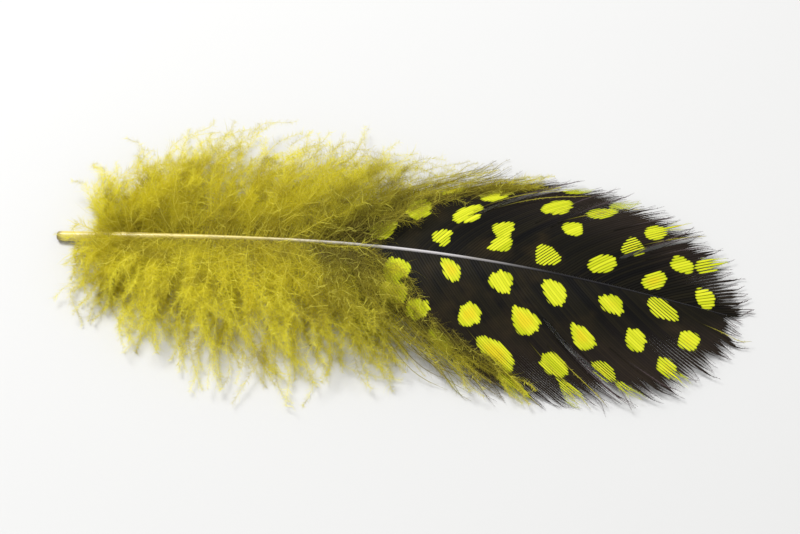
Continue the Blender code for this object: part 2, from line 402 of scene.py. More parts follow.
horn, tree, shader = new_finish("horn", 0.32)
along = reading(tree, "along")
horn_layers = (
    # painted sheen: the silvery grey band along the lower vane
    (along, 0.26, 0.46, 1, PALE_GREY_AND_SHEEN),
    (noise(tree, 900, 3, (0.08, 1, 1)), 0.42, 0.70, 0.45, STREAK_BROWN),
    (along, 0.54, 0.74, 1, DARK_HORN),
    (along, 0.012, 0.001, 0.8, DRIED_END),
)
feed(tree, shader.inputs["Base Color"], lay_over(tree, STRAW, horn_layers))
set_sockets(shader, {"Specular IOR Level": 0.35, "Coat Weight": 0.10, "Coat Roughness": 0.2})
print("finish:", horn.name)

# %% Shaft piece
points, quads, places = sweep(shaft_path, shaft_sections[None])
points[..., 2] = np.maximum(points[..., 2], 0)
along_points = np.broadcast_to((stops / LENGTH)[None, :, None], points.shape[:3])
totals = {}
totals["shaft"] = make_piece(
    "shaft", [(points, quads, on_rows(places, (0.02, 0.98)), {"along": along_points})], horn
)

# %% [markdown]
# ## Courses of the barbs
#
# Barbs leave the shaft side by side at a slant and curve towards the tip. Their angle closes towards the end
# of the feather, which gives it its round end without any barb being cut. Where the web has parted, the barbs
# on both sides lean away from the split. The course of a barb is walked in short steps, as in the solid, and
# goes on past the outline by a hair's length.

# %% Barb courses
VANE_START = 39 * MM
HALF_WIDTH = 18.8 * MM
WIDEST_AT = 70 * MM
NECK_SHARE = 0.08
TIP_ROUNDNESS = 2.4
DROOP = 0.96
ROOT_ANGLE = math.radians(58)
LAST_ANGLE = math.radians(8)
ANGLE_POWER = 3.0
BARB_CURL = 0.38
MOST_CURL = 1.3
BARB_STEP = 0.2 * MM
SPLITS = {1: (54.5 * MM, 77.0 * MM), -1: (66.0 * MM,)}
SPLIT_LEAN = math.radians(1.5)
SPLIT_SPREAD = 3.5 * MM
BARB_PITCH = 0.40 * MM  # from barb to barb, measured square to them
WIDEST_ROOTS = 1.0 * MM
BARB_STATIONS = 58
LONGEST_HAIR = 3.6 * MM


def vane_half_width(along):
    if along < WIDEST_AT:
        back = (WIDEST_AT - along) / (WIDEST_AT - VANE_START)
        return HALF_WIDTH * (1 - NECK_SHARE * back**2)
    ahead = min((along - WIDEST_AT) / (LENGTH - WIDEST_AT), 1.0)
    return HALF_WIDTH * math.sqrt(1 - ahead**TIP_ROUNDNESS)


def whole_web_angle(along):
    share = (along - VANE_START) / (LENGTH - VANE_START)
    return ROOT_ANGLE + (LAST_ANGLE - ROOT_ANGLE) * share**ANGLE_POWER


def barb_angle(along, side):
    angle = whole_web_angle(along)
    for split in SPLITS[side]:
        off = along - split
        angle -= math.copysign(SPLIT_LEAN, off) * math.exp(-abs(off) / SPLIT_SPREAD)
    return max(angle, LAST_ANGLE / 2)


def barb_course(along, side):
    """Points of a barb, as distances along the shaft and out from it, and its length up to the outline."""
    angle = barb_angle(along, side)
    x, out, gone, past = along, 0.0, 0.0, 0.0
    course = [(x, out)]
    while past <= LONGEST_HAIR:
        slant = angle * (1 - BARB_CURL * min(gone / HALF_WIDTH, MOST_CURL))
        x += BARB_STEP * math.cos(slant)
        out += BARB_STEP * math.sin(slant)
        gone += BARB_STEP
        course.append((x, out))
        if out > vane_half_width(x):
            past += BARB_STEP
    return np.array(course), gone - past


def place_roots():
    """Feet of the barbs along the shaft. Towards the tip they stand further apart, as the barbs close in."""
    places = [VANE_START]
    while places[-1] < SHAFT_END - 0.6 * MM:
        places.append(places[-1] + min(BARB_PITCH / math.sin(whole_web_angle(places[-1])), WIDEST_ROOTS))
    return np.array(places)


roots = place_roots()
BARBS = len(roots)
courses = {side: [barb_course(root, side) for root in roots] for side in (1, -1)}
print("barbs a side:", BARBS, "longest, mm:", round(max(reach for _, reach in courses[1]) / MM, 1))

# %% [markdown]
# ## From courses to barbs
#
# On each barb sit two rows of tiny hooked branches that zip it to its neighbours, so a healthy web looks like
# fine cloth. Near the edge they thin out and the barb ends as a free hair, often stuck to a few others. So a
# barb is a blade that fills the room up to its neighbours, narrows past the end of the web, and bends towards
# the middle of its own small bunch of hairs. The first barbs are webbed only near the shaft.

# %% Webs and lengths
WEB_SHARE = 0.86
FIRST_WEB_SHARE = 0.22
LEAST_WEB_SHARE = 0.15
WEB_SETTLED = 50 * MM
SHORTEST_FREE = 2.4 * MM
HAIR_RANGE = (0.15, 0.8)  # of the longest hair: what every barb has of it, and what chance may add
WEARING = 0.05
shares = np.linspace(0, 1, BARB_STATIONS)


def drift(rng, count, reach):
    """Numbers between about -1 and 1 that change slowly from one to the next."""
    raw = rng.uniform(-1, 1, count + 2 * reach)
    kernel = np.hanning(2 * reach + 1)
    slow = np.convolve(raw, kernel / kernel.sum(), mode="valid")
    return slow / max(np.abs(slow).max(), 1e-9)


def barb_lengths(side, rng):
    """The length of each barb with its hair, and the share of it that is webbed."""
    reaches = np.array([reach for _, reach in courses[side]])
    least, more = HAIR_RANGE
    lengths = reaches * (1 - WEARING * rng.uniform(0, 1, BARBS))
    lengths += LONGEST_HAIR * (least + more * rng.uniform(0, 1, BARBS) ** 2)
    settled = smooth_step((roots - VANE_START) / (WEB_SETTLED - VANE_START))
    web = FIRST_WEB_SHARE + (WEB_SHARE - FIRST_WEB_SHARE) * settled
    web += 0.05 * drift(rng, BARBS, 5) + rng.uniform(-0.02, 0.02, BARBS)
    return lengths, np.maximum(np.minimum(web, 1 - SHORTEST_FREE / lengths), LEAST_WEB_SHARE)


def follow_courses(side, lengths):
    """Each barb's stations along its course, still flat, with y as the distance out."""
    paths = np.zeros((BARBS, BARB_STATIONS, 3))
    for k, (course, _) in enumerate(courses[side]):
        at = np.arange(len(course)) * BARB_STEP
        for axis in (0, 1):
            paths[k, :, axis] = np.interp(shares * lengths[k], at, course[:, axis])
    return paths


print("stations on a barb:", BARB_STATIONS)

# %% Loose ends
BUNCH = (3, 8)
BUNCH_PULL = 0.74
MOST_PULL = 0.20  # as a share of the loose length, because short hairs are stiff
HAIR_WAVE = 0.052  # this and the next as shares of the loose length too
HAIR_BEND = 0.085


def bunches(rng, count):
    """The number of the bunch that each barb belongs to."""
    numbers = []
    while len(numbers) < count:
        numbers += [len(numbers)] * int(rng.integers(*BUNCH, endpoint=True))
    return np.array(numbers[:count])


def bunch_up(paths, free, loose_length, rng):
    """Pulls the free ends towards the middle of their own bunch."""
    bunch = bunches(rng, BARBS)
    for number in np.unique(bunch):
        own = bunch == number
        pull = (paths[own].mean(axis=0) - paths[own]) * (BUNCH_PULL * free[own])[..., None]
        most = MOST_PULL * loose_length[own] * free[own] / np.linalg.norm(pull, axis=-1).clip(1e-9)
        paths[own] += pull * most.clip(0, 1)[..., None]


def sway(paths, free, loose_length, starts, rng):
    """Bends the free ends sideways, each in its own way."""
    aside = HAIR_WAVE * np.sin(starts + 8 * shares) * free**1.5
    aside += rng.normal(0, HAIR_BEND, (BARBS, 1)) * free**3
    aside *= loose_length
    slant = unit(np.gradient(paths[..., :2], axis=1))
    paths[..., 0] += aside * slant[..., 1]
    paths[..., 1] -= aside * slant[..., 0]


print("barbs in a bunch:", BUNCH)

# %% [markdown]
# From above the barbs are in place now, but they are still flat. Each side of the vane droops from the shaft,
# as the solid does, with a shallow ripple over it. Loose hairs lift a little, each by its own amount, and
# nothing goes below the table.

# %% Barb paths
EDGE_CLEARANCE = 0.13 * MM
RIPPLE_HEIGHT = 0.10 * MM
RIPPLE_LENGTH = 3.1 * MM
RIPPLE_WIDTH = 4 * MM
UNEVENNESS = 0.05 * MM
HAIR_LIFT = (0.12, 0.5)  # mm that every free end lifts, and that chance may add


def raise_barbs(paths, free, starts, rng):
    along, out = paths[..., 0], paths[..., 1]
    height = shaft_height(along) * (1 - DROOP * (out / HALF_WIDTH) ** 2)
    ripple = np.sin(along / RIPPLE_LENGTH + 2 * np.sin(out / RIPPLE_WIDTH))
    height += RIPPLE_HEIGHT * ripple * smooth_step(out / RIPPLE_WIDTH)
    height += UNEVENNESS * drift(rng, BARBS, 2)[:, None] * shares
    height = np.maximum(height, EDGE_CLEARANCE)
    least, more = HAIR_LIFT
    height += free**2 * MM * (least + more * np.sin(starts) ** 2 * rng.uniform(0, 1, (BARBS, 1)))
    paths[..., 2] = height


def barb_paths(side, rng):
    """Paths of one side's barbs, the share of each that is webbed, and how free each station is."""
    lengths, web = barb_lengths(side, rng)
    paths = follow_courses(side, lengths)
    left = 1.02 - web[:, None]
    free = smooth_step((shares[None] - web[:, None]) / left)
    loose_length = (lengths * (1.02 - web))[:, None]
    bunch_up(paths, free, loose_length, rng)
    starts = rng.uniform(0, 2 * math.pi, (2, BARBS, 1))
    sway(paths, free, loose_length, starts[0], rng)
    raise_barbs(paths, free, starts[1], rng)
    paths[..., 0] -= LENGTH / 2
    return paths, web, free


vane_paths = {side: barb_paths(side, np.random.default_rng(11 + side)) for side in (1, -1)}
print("web ends at a share of", vane_paths[1][1].round(2)[[0, 20, 60]].tolist())

# %% [markdown]
# ## Stray barbs
#
# A feather that has been handled is never quite combed. Beside each split, some barbs of its edges wander
# across the gap, and a few barbs elsewhere have come unzipped and lie over the web. A stray is made from the
# outer part of a barb that is there already, turned a little round the place where it leaves it, so it keeps
# a real barb's curve.

# %% Stray barbs
# which barb, counted from the split, the share of it where the stray leaves it, and to which side
SPLIT_STRAYS = ((-2, 0.50, -1), (-1, 0.34, -1), (0, 0.40, 1), (1, 0.56, 1))
OVERLYING = 7
STRAY_START = (0.4, 0.6)
STRAY_TURN = (0.03, 0.12)
STRAY_LIFT = (0.1, 0.7)


def part_of(path, kept):
    """The stations of a path at these shares of it."""
    return np.stack([np.interp(kept, shares, line) for line in path.T], axis=-1)


def stray_barbs(side, paths, rng):
    """Paths of the strays, and the numbers of the barbs that they came from."""
    strays = []
    for split in SPLITS[side]:
        number = int(np.searchsorted(roots, split))
        strays += [(number + step, start, hand) for step, start, hand in SPLIT_STRAYS]
    for _ in range(OVERLYING):
        strays.append((int(rng.integers(8, BARBS - 8)), rng.uniform(*STRAY_START), rng.choice([-1, 1])))
    stray_courses = []
    for number, start, hand in strays:
        course = part_of(paths[number], start + (1 - start) * shares)
        turn = hand * rng.uniform(*STRAY_TURN)
        spin = np.array([[math.cos(turn), math.sin(turn)], [-math.sin(turn), math.cos(turn)]])
        course[:, :2] = course[0, :2] + (course - course[0])[:, :2] @ spin
        course[:, 2] += MM * (0.10 + rng.uniform(*STRAY_LIFT) * np.sin(math.pi * shares * 0.8))
        stray_courses.append(course)
    return np.array(stray_courses), np.array([number for number, _, _ in strays])


stray_paths = {}
for side in (1, -1):
    stray_paths[side] = stray_barbs(side, vane_paths[side][0], np.random.default_rng(91 + side))
print("strays on the left and right:", [len(stray_paths[side][1]) for side in (1, -1)])

# %% [markdown]
# ## Spots
#
# The spots are not painted across the web. Each barb grew with its own yellow stretches, and neighbours
# match, so a spot has a stepped edge, one step to a barb, and stays a set of parallel dashes where the web
# opens. The spots are laid out by rule: rows beside the shaft, every second row shifted by half a space,
# with some chance in place, size and shape: round, pointed or drop-shaped. On each side, two spots have run
# into one.

# %% Lay out the spots
SPOT_ROWS = (3.1 * MM, 8.3 * MM, 13.6 * MM, 17.9 * MM)
SPOT_SPACING = 7.8 * MM
SPOT_RADIUS = 1.80 * MM
SPOTS_FROM = 40.5 * MM
SPOTS_TO = 97 * MM
ROW_STRETCH = (1.0, 1.0, 1.3, 1.7)  # outer spots are drawn out along the barbs
ROW_SIZE = (1.0, 1.0, 1.0, 0.78)
ROW_COMBING = (0.0, 0.0, 0.25, 0.55)
MOST_COMBING = 0.72
JOINED = {1: 3, -1: 1}  # on each side, the spot of the first row that one of the second has run into
ALONG_CHANCE = 0.45 * MM
OUT_CHANCE = 0.35 * MM


def lay_spots(side, rng):
    """Spots of one side as dicts, with y as the distance out."""
    spots = []
    for row, out in enumerate(SPOT_ROWS):
        start = SPOTS_FROM + SPOT_SPACING * (0.5 * (row % 2) + (0.3 if side < 0 else 0.0))
        for along in np.arange(start, SPOTS_TO, SPOT_SPACING):
            narrowing = vane_half_width(along) / HALF_WIDTH
            shrink = 0.72 + 0.28 * narrowing
            spots.append(
                {
                    "row": row,
                    "along": along + rng.normal(0, ALONG_CHANCE) - LENGTH / 2,
                    "out": out * narrowing + rng.normal(0, OUT_CHANCE),
                    "radius": SPOT_RADIUS * ROW_SIZE[row] * shrink * rng.uniform(0.84, 1.12),
                    "stretch": ROW_STRETCH[row] * rng.uniform(0.85, 1.35),
                    "combed": ROW_COMBING[row] + (MOST_COMBING - ROW_COMBING[row]) * rng.uniform() ** 4,
                    "lumps": rng.uniform(0, 2 * math.pi, 2),
                    "orange": rng.uniform() ** 2,
                    "points": rng.uniform(1.35, 2.2),  # below 2 the two ends are pointed
                    "drop": rng.uniform(-0.38, 0.38),  # one end wider than the other
                }
            )
    first = spots[JOINED[side]]
    second_row = [spot for spot in spots if spot["row"] == 1]
    second = min(second_row, key=lambda spot: abs(spot["along"] - first["along"]))
    second["along"] = first["along"] + 0.2 * MM
    second["out"] = first["out"] + 0.92 * (first["radius"] + second["radius"])
    return spots


vane_spots = {side: lay_spots(side, np.random.default_rng(31 + side)) for side in (1, -1)}
print("spots on the left and right:", [len(vane_spots[side]) for side in (1, -1)])

# %% [markdown]
# Each barb then reads how deep inside a spot it is at each of its stations, and the finish turns that depth
# into a crisp edge. A small shift of each barb's own, along itself, makes the steps at the edge uneven.

# %% Depth in the spots
BARB_SHIFT = 0.14 * MM


def depth_in_spots(paths, spots, rng):
    """For each station: how far it is inside the nearest spot, in metres and below zero outside, how orange
    that spot is there, and how combed it is."""
    heading = unit(np.gradient(paths, axis=1))
    shift = rng.normal(0, BARB_SHIFT, len(paths))[:, None, None]
    places = paths + heading * shift
    deepest = np.full(paths.shape[:2], -1.0)
    orange = np.zeros(paths.shape[:2])
    combed = np.zeros(paths.shape[:2])
    for spot in spots:
        off = places[..., :2] - np.array([spot["along"], spot["out"]])
        nearest = np.unravel_index(np.argmin((off**2).sum(axis=-1)), off.shape[:2])
        way = heading[nearest][:2]
        forth = off @ way / (spot["stretch"] * spot["radius"])
        athwart = off @ np.array([-way[1], way[0]]) * (math.sqrt(spot["stretch"]) / spot["radius"])
        athwart /= 1 + spot["drop"] * np.clip(forth, -1.2, 1.2)
        angle = np.arctan2(athwart, forth)
        lumpy = 1 + 0.06 * np.sin(2 * angle + spot["lumps"][0]) + 0.05 * np.sin(3 * angle + spot["lumps"][1])
        depth = spot["radius"] * (lumpy - np.sqrt(np.abs(forth) ** spot["points"] + athwart**2))
        inner = np.clip(depth / spot["radius"], 0, 1) * spot["orange"]
        orange = np.where(depth > deepest, inner, orange)
        combed = np.where(depth > deepest, spot["combed"], combed)
        deepest = np.maximum(deepest, depth)
    return deepest, orange, combed


print("most that a barb is shifted, mm:", round(2 * BARB_SHIFT / MM, 2))

# %% [markdown]
# ## Web finish
#
# The dye left the melanin black and turned the white spots lemon yellow, with a breath of orange in the
# middle of some. The black isn't flat: barbs differ a little and have a silky sheen along them, the web turns
# brown towards the edge, and the free hairs end in a pale mauve grey. In a spot, the seams between barbs are
# painted as thin darker lines: painted shade between the barbs, over barbule edges that are a little darker.

# %% Web colours
BLACKEST = (0.0028, 0.0026, 0.0026)
BROWNISH_BLACK = (0.0110, 0.0092, 0.0042)
BROWN_CLOUD = (0.026, 0.018, 0.007)
EDGE_BROWN = (0.029, 0.020, 0.015)
MAUVE_GREY = (0.125, 0.093, 0.098)
# painted shade in the seams between barbs, over barbule edges that are a little darker
DARK_EDGE_AND_SEAM_SHADE = (0.002, 0.002, 0.003)
LIME = (0.46, 0.51, 0.010)
LEMON = (0.66, 0.68, 0.026)
ORANGE = (0.72, 0.47, 0.012)
# painted shade in the seams between barbs inside a spot, over barbule edges that are a little darker
YELLOW_EDGE_AND_SEAM_SHADE = (0.15, 0.16, 0.004)
SPOT_RIM = (0.30, 0.38, 0.003)
DARK_OLIVE = (0.14, 0.11, 0.008)
PALE_OLIVE = (0.46, 0.41, 0.03)
print("blackest and lemon:", BLACKEST, LEMON)

# %% Web finish
web_finish, tree, shader = new_finish("spotted web", 0.5)
loose, tone, seam = reading(tree, "loose"), reading(tree, "tone"), reading(tree, "seam")
ground_layers = (
    (tone, 0.0, 1.0, 1, BROWNISH_BLACK),
    (noise(tree, 160, 3), 0.48, 0.72, 0.7, BROWN_CLOUD),
    (reading(tree, "outer"), 0.30, 0.90, 0.6, EDGE_BROWN),
    (loose, 0.0, 1.0, 0.85, MAUVE_GREY),
    # painted seam shade at the blade edges
    (seam, 0.55, 1.0, 0.5, DARK_EDGE_AND_SEAM_SHADE),
)
yellow_layers = (
    (tone, 0.0, 1.0, 1, LEMON),
    (reading(tree, "orange"), 0.1, 0.7, 0.5, ORANGE),
    # painted seam shade at the blade edges inside a spot
    (seam, 0.50, 1.0, 0.50, YELLOW_EDGE_AND_SEAM_SHADE),
)
ground = lay_over(tree, BLACKEST, ground_layers)
yellow = lay_over(tree, LIME, yellow_layers)
print("layers over the black and the yellow:", len(ground_layers), len(yellow_layers))

# %% Spots in the finish
inside = calculate(tree, "MULTIPLY_ADD", seam, -0.16, reading(tree, "spot"))
core = calculate(tree, "MULTIPLY_ADD", reading(tree, "combed"), 0.80, seam)
share = calculate(tree, "MULTIPLY", ramp(tree, inside, -0.06, 0.07), ramp(tree, core, 0.98, 1.22, 1, 0))
rim = calculate(tree, "MULTIPLY", share, ramp(tree, inside, 0.0, 0.35, 1, 0))
yellow = colour_mix(tree, calculate(tree, "MULTIPLY", rim, 0.45), yellow, SPOT_RIM)
marked = colour_mix(tree, share, ground, yellow)
olive = colour_mix(tree, ramp(tree, tone, 0.2, 0.9), DARK_OLIVE, PALE_OLIVE)
feed(tree, shader.inputs["Base Color"], colour_mix(tree, reading(tree, "olive"), marked, olive))
set_sockets(shader, {"Sheen Weight": 0.014, "Sheen Roughness": 0.35, "Specular IOR Level": 0.07})
print("finish:", web_finish.name)

# %% [markdown]
# ## Blades and their barbules
#
# A barb's section is a low roof with a keel below, as on the real one: the horny rod in the middle stands a
# little proud, the tipward half lies over the next barb and the other half slips under the one before.
# Beside a split the web holds together for the first third, and then comes unzipped within a short way. In a
# few other places it has only slackened, so thin gaps show between the barbs.

# %% Blade sections
WEB_OVERLAP = 0.57
WIDEST_HALF = 0.29 * MM
PARTED_FROM = 0.50 * MM  # room to the neighbour from which the web has parted
PARTING_EASE = 0.20 * MM
PARTED_NARROWING = 0.45  # hooks without a neighbour fold up
ZIPPED_SHARE = 0.34  # the web beside a split still holds together up to here
UNZIPPING = 0.05
HAIR_HALF = 0.046 * MM
RIDGE_HEIGHT = 0.050 * MM
KEEL_DEPTH = 0.080 * MM
UNDERLAP = -0.030 * MM
OVERLAP = 0.030 * MM
SLACKENING = 0.42
OPENING_SPREAD = 4 * MM
OPENINGS = {  # places along the shaft, and the share of a barb from which the web there has slackened
    1: ((64 * MM, 0.50), (88.5 * MM, 0.45)),
    -1: ((56.5 * MM, 0.55), (81 * MM, 0.42)),
}


def blade_sections(paths, web, side):
    """Closed sections that fill the room up to the neighbours while the web lasts. Strays have none."""
    heading = unit(np.gradient(paths, axis=1))[:BARBS, :, :2]
    step = np.diff(paths[:BARBS, :, :2], axis=0)
    room = np.abs(step[..., 0] * heading[:-1, :, 1] - step[..., 1] * heading[:-1, :, 0])
    alone = np.zeros((len(paths) - BARBS, BARB_STATIONS))
    ahead = np.concatenate([room, room[-1:], alone])
    behind = np.concatenate([room[:1], room, alone])
    closed = 1 - smooth_step((shares[None] - web[:, None] + 0.05) / 0.13)
    root_at = paths[:, :1, 0] + LENGTH / 2
    for middle, start in OPENINGS[side]:
        near = np.exp(-(((root_at - middle) / OPENING_SPREAD) ** 2))
        closed *= 1 - SLACKENING * near * smooth_step((shares[None] - start) / 0.2)
    tip = 1 - 0.75 * smooth_step((shares[None] - 0.86) / 0.14)
    parted = smooth_step((shares[None] - ZIPPED_SHARE) / UNZIPPING)
    halves = []
    for gap in (ahead, behind):
        half = WEB_OVERLAP * gap
        half -= (half - WIDEST_HALF).clip(0) * parted
        half *= 1 - PARTED_NARROWING * smooth_step((gap - PARTED_FROM) / PARTING_EASE) * parted
        halves.append(HAIR_HALF * tip + (half - HAIR_HALF).clip(0) * closed)
    root = 0.6 + 0.4 * smooth_step(shares / 0.02)[None]
    over_half, under_half = halves[0] * root, halves[1] * root
    thin = 0.45 + 0.55 * closed
    flat = np.zeros_like(closed)
    corners = [
        (flat, -KEEL_DEPTH * thin),
        (over_half, OVERLAP * closed),
        (0.35 * over_half, 0.5 * RIDGE_HEIGHT * thin),
        (flat, RIDGE_HEIGHT * thin),
        (-0.35 * under_half, 0.4 * RIDGE_HEIGHT * thin),
        (-under_half, UNDERLAP * closed),
    ]
    return np.stack([np.stack(corner, axis=-1) for corner in corners], axis=2)


# how near each corner of a blade is to the seam with its neighbours: the finish paints seam shade there and
# narrows the spots' ends
SEAM = np.array([0.6, 1.0, 0.35, 0.0, 0.35, 1.0])
print("blade corners:", len(SEAM))

# %% [markdown]
# A barbule is a flat blade of two panels. That is enough, because it is thinner than a hair and is only ever
# seen among hundreds. The same helpers grow the short barbules of the free hairs, which make the vane's edge
# look soft, and later the long ones of the down.


# %% Barbules
def barbules(paths, growing_at, turns, tilts, lengths, widths, limpness, lift):
    """Flat blades of two panels on each strand. Each grows at a share of its strand, turned away from it to
    the right or the left, and tilted up or down. Its outer half bends along the strand by its limpness and
    up by its lift. Returns the points, the quads and the end triangles."""
    stations = paths.shape[1]
    where = growing_at * (stations - 1)
    first = np.minimum(where.astype(int), stations - 2)
    part = (where - first)[..., None]
    strand = np.arange(len(paths))[:, None]
    start, stop = paths[strand, first], paths[strand, first + 1]
    heading = unit(stop - start)
    across, over = own_axes(heading)
    hand = np.sign(turns)[..., None]
    turns, tilts, lengths = np.abs(turns)[..., None], tilts[..., None], lengths[..., None]
    sideways = across * hand * np.cos(tilts) + over * np.sin(tilts)
    way = heading * np.cos(turns) + sideways * np.sin(turns)
    bent = unit(way + heading * limpness[..., None] + over * lift[..., None])
    flat = unit(np.cross(way, over * np.cos(tilts) - across * hand * np.sin(tilts)))
    base = start + (stop - start) * part
    middle = base + way * lengths * 0.5
    tip = middle + bent * lengths * 0.5
    half = flat * widths[..., None] / 2
    points = np.stack([base - half, base + half, middle + half * 0.8, middle - half * 0.8, tip], axis=2)
    index = np.arange(points.size // 3).reshape(points.shape[:3])
    return points, index[..., [0, 1, 2, 3]], index[..., [3, 2, 4]]


def both_hands(size):
    """Rights and lefts by turns, for each strand's barbules."""
    return np.where(np.arange(size[1]) % 2, 1, -1) * np.ones(size)


def barbule_batches(grown, growing_at, hands, widths, strips, readings):
    """Batches of quads and end triangles with their map places: one strip for each hand."""
    points, quads, triangles = grown
    before, after = growing_at - widths, growing_at + widths
    spread = np.stack([before, after, after, before, growing_at], axis=-1)
    rise = np.broadcast_to(np.array([0.0, 0.0, 0.5, 0.5, 1.0]), spread.shape)
    places = np.where(
        (hands > 0)[..., None, None],
        on_rows(np.stack([spread, rise], -1), strips[0]),
        on_rows(np.stack([spread, rise], -1), strips[1]),
    )
    nothing = {name: values[:0] for name, values in readings.items()}
    return [
        (points, quads, places[..., [0, 1, 2, 3], :], readings),
        (points[:0], triangles - points.size // 3, places[..., [3, 2, 4], :], nothing),
    ]


def read_at(values, growing_at):
    """A reading of the strands' stations, at the places where barbules grow, for all five of their points."""
    where = growing_at * (values.shape[1] - 1)
    first = np.minimum(where.astype(int), values.shape[1] - 2)
    strand = np.arange(len(values))[:, None]
    here = values[strand, first] + (values[strand, first + 1] - values[strand, first]) * (where - first)
    return np.repeat(here[..., None], 5, axis=-1)


print("barbule helpers ready")

# %% [markdown]
# Now the strands of one side are brought together: its barbs, and its strays after them. The first barbs are
# half downy, so each strand also has a number for how early it comes, and a share of its length from which
# barbules grow on it.

# %% Vane strands
HALF_DOWNY_UP_TO = 13 * MM  # along the shaft from the first barb of the vane
FUZZY_BEFORE_END = 0.12  # of the web
FUZZY_SPLIT_EDGE = 0.68
FUZZY_STRAY = 0.25
NO_WEB = -0.2
STRAY_FREED = 0.9


def vane_strands(side):
    paths, web, free = vane_paths[side]
    strays, came_from = stray_paths[side]
    early = 1 - smooth_step((roots - VANE_START) / HALF_DOWNY_UP_TO)
    fuzzy_from = np.concatenate([web - FUZZY_BEFORE_END, np.full(len(strays), FUZZY_STRAY)])
    for split in SPLITS[side]:
        number = int(np.searchsorted(roots, split))
        fuzzy_from[number - 1 : number + 1] = FUZZY_SPLIT_EDGE
    stray_free = np.repeat(smooth_step(shares / STRAY_FREED)[None], len(strays), axis=0)
    return {
        "paths": np.concatenate([paths, strays]),
        "web": np.concatenate([web, np.full(len(strays), NO_WEB)]),
        "free": np.concatenate([free, stray_free]),
        "early": np.concatenate([early, early[came_from]]),
        "fuzzy_from": fuzzy_from,
    }


print("strands on the left:", len(vane_strands(1)["paths"]))

# %% [markdown]
# The finish reads its numbers from here: the depth in a spot, how far a spot is combed out into dashes where
# the web opens, how free the barb is, and a tone of its own. The half-downy barbs and a third of the strays
# turn olive.

# %% Vane readings
PALE_STRAYS = 0.35  # share of the strays that turn yellow towards their ends
PALE_TONE = 0.9
MOST_PALE = 0.75


def vane_readings(side, strands, rng):
    """What the finish reads, for each station of each strand."""
    paths, free, reach = strands["paths"], strands["free"], strands["web"][:, None]
    depth, orange, combed = depth_in_spots(paths, vane_spots[side], rng)
    opening = smooth_step((shares[None] - reach + 0.14) / 0.14)
    tone = np.clip(0.5 + 0.28 * drift(rng, len(paths), 4) + rng.uniform(-0.28, 0.28, len(paths)), 0, 1)
    readings = {
        "spot": depth / MM,
        "orange": orange,
        "combed": np.maximum(combed, 0.5 * opening) * (1 - free),
        "loose": free,
        "outer": np.repeat(shares[None], len(paths), axis=0),
        "tone": np.repeat(tone[:, None], BARB_STATIONS, axis=1),
        "olive": strands["early"][:, None] * smooth_step((shares[None] - reach + 0.2) / 0.3),
    }
    pale = BARBS + np.flatnonzero(rng.uniform(0, 1, len(paths) - BARBS) < PALE_STRAYS)
    readings["olive"][pale] = MOST_PALE * smooth_step(shares / 0.5)
    readings["tone"][pale] = PALE_TONE
    return readings


print("share of strays that turn yellow:", PALE_STRAYS)

# %% [markdown]
# The barbules grow at chance places on the free part of each strand, shorter towards its end and longer on
# the half-downy barbs. They take their colours from the place on the barb where they grow.

# %% Fringe
FRINGE_BARBULES = 50
FRINGE_WIDTH = 0.028 * MM
FRINGE_LENGTHS = (0.42, 1.0)  # mm, and how many more on the half-downy barbs
FULL_FRINGE_AT = 12 * MM  # shorter strands have shorter barbules
MAP_WIDTH = 0.0008


def fringe(strands, whole, rng):
    paths, fuzzy_from = strands["paths"], strands["fuzzy_from"][:, None]
    size = (len(paths), FRINGE_BARBULES)
    growing_at = fuzzy_from + (0.985 - fuzzy_from) * rng.uniform(0, 1, size)
    hands = both_hands(size)
    turns = hands * np.radians(rng.uniform(28, 62, size))
    least, more = FRINGE_LENGTHS
    lengths = (least + more * strands["early"][:, None]) * MM * rng.uniform(0.5, 1.3, size)
    lengths *= 1 - 0.6 * smooth_step((growing_at - 0.8) / 0.2)
    span = np.linalg.norm(paths[:, -1] - paths[:, 0], axis=-1)
    lengths *= np.clip(span / FULL_FRINGE_AT, 0.4, 1)[:, None]
    tilts = np.radians(rng.uniform(-20, 30, size))
    limpness, lift = rng.uniform(0.2, 0.9, size), rng.normal(0, 0.25, size)
    grown = barbules(paths, growing_at, turns, tilts, lengths, np.full(size, FRINGE_WIDTH), limpness, lift)
    readings = {key: read_at(value, growing_at) for key, value in whole.items()}
    readings["seam"] = np.zeros((*size, 5))
    widths = np.full(size, MAP_WIDTH)
    return barbule_batches(grown, growing_at, hands, widths, ((0.66, 0.80), (0.84, 0.98)), readings)


print("barbules on a barb:", FRINGE_BARBULES)

# %% Vane pieces
LOWEST_BARB = 0.03 * MM


def vane_piece(side, name):
    rng = np.random.default_rng(51 + side)
    strands = vane_strands(side)
    whole = vane_readings(side, strands, rng)
    points, quads, places = sweep(strands["paths"], blade_sections(strands["paths"], strands["web"], side))
    readings = {key: np.repeat(value[..., None], len(SEAM), axis=-1) for key, value in whole.items()}
    readings["seam"] = np.broadcast_to(SEAM, points.shape[:3])
    blades = (points, quads, on_rows(places, (0.04, 0.60)), readings)
    batches = [blades, *fringe(strands, whole, rng)]
    for batch in batches:
        batch[0][..., 2] = np.maximum(batch[0][..., 2], LOWEST_BARB)
    return make_piece(name, batches, web_finish, side)


totals["vane_left"] = vane_piece(1, "vane_left")
totals["vane_right"] = vane_piece(-1, "vane_right")

# %% [markdown]
# ## Down
#
# Below the web the barbs have no hooks. Each is a limp rod with hundreds of hair-fine barbules that stand
# out all round it, and neighbours cling together in locks. The locks are the solid's own: the same chance
# with the same seed gives the same roots, angles and lengths. A dozen rods share each lock. They leave the
# shaft one after another, run side by side through its body with waves of their own, some stray out of it,
# and they end at different lengths, so the lock ends in wisps.

